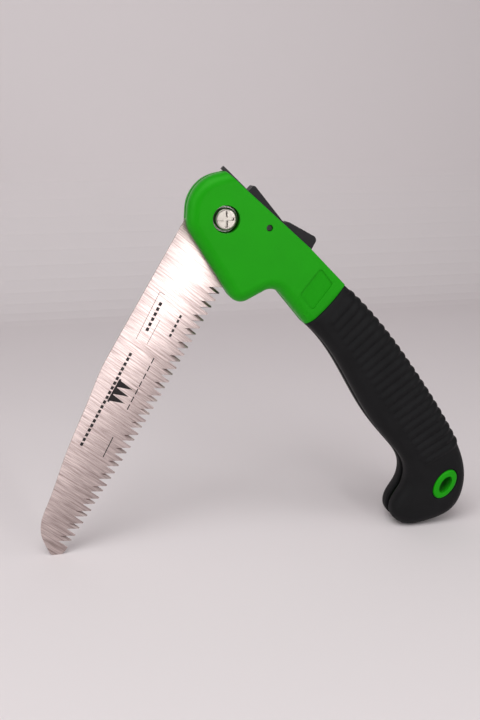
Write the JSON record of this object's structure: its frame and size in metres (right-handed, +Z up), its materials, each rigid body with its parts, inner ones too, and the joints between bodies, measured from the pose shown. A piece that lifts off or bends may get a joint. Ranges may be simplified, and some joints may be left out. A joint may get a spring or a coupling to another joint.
{
  "type": "folding pruning saw",
  "caption": "Folding pruning saw: a toothed steel blade folds on a pivot bolt into a slotted two-part handle with a ribbed soft grip and a lock lever.",
  "frame": {"origin": "middle of the box at its underside, on the surface where the half-open saw stands on its blade's nose and its pommel", "axes": "+X from the blade's nose towards the pommel, +Y through the thickness away from the bolt's head, +Z up"},
  "size_m": [0.2525, 0.0284, 0.2137],
  "materials": {
    "green_plastic": "satin, fine moulded grain",
    "black_rubber": "matte soft-touch",
    "black_plastic": "matte",
    "blade_steel": "cross-brushed",
    "dark_steel": "blackened",
    "plain_steel": "bright",
    "bright_zinc": "zinc plated",
    "brass": "turned"
  },
  "bodies": {
    "handle": {"handle_shell_front": "green_plastic", "handle_shell_back": "green_plastic", "grip_front": "black_rubber", "grip_back": "black_rubber", "spine_spacer": "black_plastic", "blade_stop": "dark_steel", "locating_dowels": "plain_steel", "shell_screws": "plain_steel", "pivot_bolt": "bright_zinc", "pivot_nut": "bright_zinc", "pivot_bushing": "brass", "head_washer": "plain_steel", "spring_washer": "plain_steel", "thrust_washer_front": "brass", "thrust_washer_back": "brass", "lever_pin": "dark_steel", "lever_spring": "plain_steel"},
    "blade": {"blade": "blade_steel"},
    "lock_lever": {"lock_catch": "dark_steel", "lever_cap": "black_plastic"}
  },
  "joints": [
    {"name": "blade_pivot", "type": "hinge", "parent": "handle", "child": "blade", "pos_m": [-0.01966, 0, 0.18684], "axis": [0, 1, 0], "range_deg": [-64, 103]},
    {"name": "lock_lever", "type": "hinge", "parent": "handle", "child": "lock_lever", "pos_m": [0.00344, 0, 0.18182], "axis": [0, 1, 0], "range_deg": [0, 8], "stiffness_Nm_per_rad": 1.2, "springref_deg": -5.73, "deforming": ["lever_spring"]}
  ]
}
